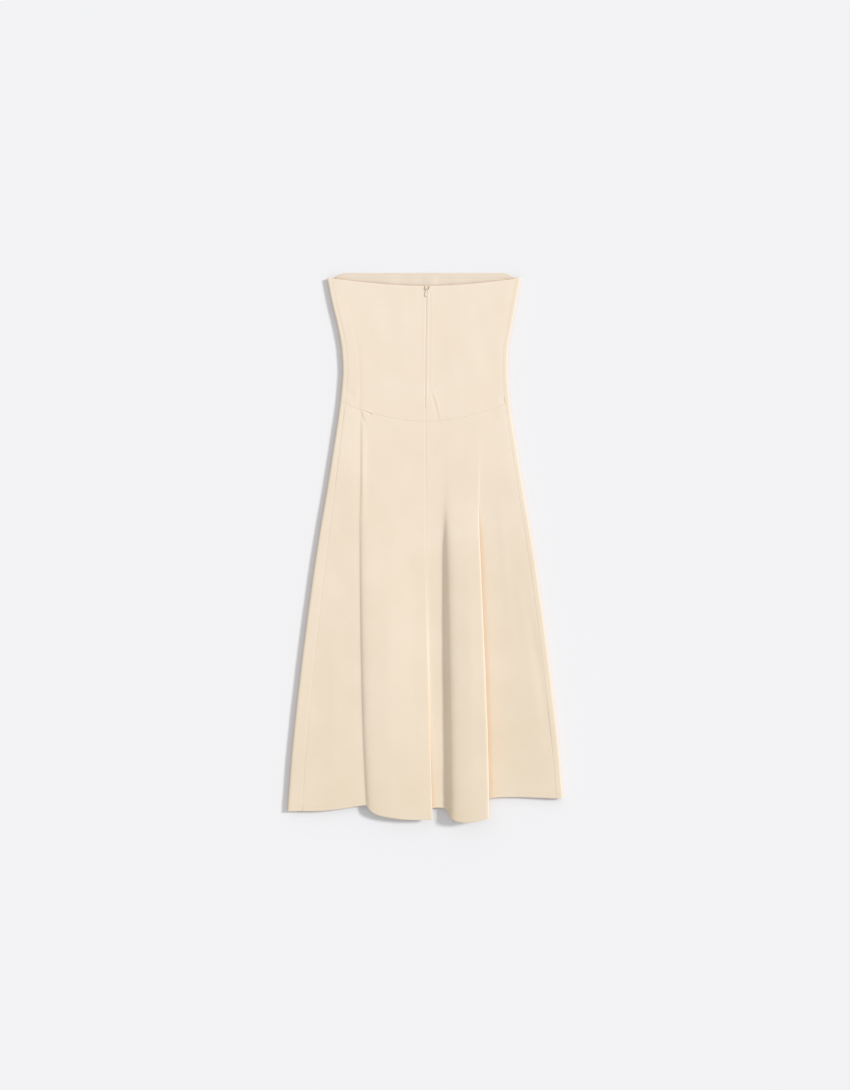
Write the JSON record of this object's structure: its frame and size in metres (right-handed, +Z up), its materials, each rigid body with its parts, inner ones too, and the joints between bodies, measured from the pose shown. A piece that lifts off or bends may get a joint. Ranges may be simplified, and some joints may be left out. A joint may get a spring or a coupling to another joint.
{
  "type": "strapless dress",
  "caption": "Strapless A-line midi dress laid flat on its front, with a fitted bodice, a fluted skirt, a concealed back zip and its turning pull tab.",
  "frame": {"origin": "on the surface the dress lies on, under the middle of its bounding box", "axes": "+Y from the hem to the neckline, +Z up, out of the back of the dress, +X to the right as its back is looked at"},
  "size_m": [0.5506, 1.0977, 0.0295],
  "materials": {
    "cloth": "matte",
    "facing": "matte",
    "tape": "matte",
    "zip_enamel": "satin"
  },
  "bodies": {
    "dress": {"bodice_back_left": "cloth", "bodice_back_right": "cloth", "bodice_front": "cloth", "skirt_back_left": "cloth", "skirt_back_right": "cloth", "skirt_front": "cloth", "neck_facing_front": "facing", "zip_tape": "tape", "zip_slider": "zip_enamel"},
    "zip_pull": {"zip_pull_tab": "zip_enamel"}
  },
  "joints": [
    {"name": "zip_pull_hinge", "type": "hinge", "parent": "dress", "child": "zip_pull", "pos_m": [0.00234, 0.51467, 0.01033], "axis": [-1, 0, 0], "range_deg": [0, 170]}
  ]
}
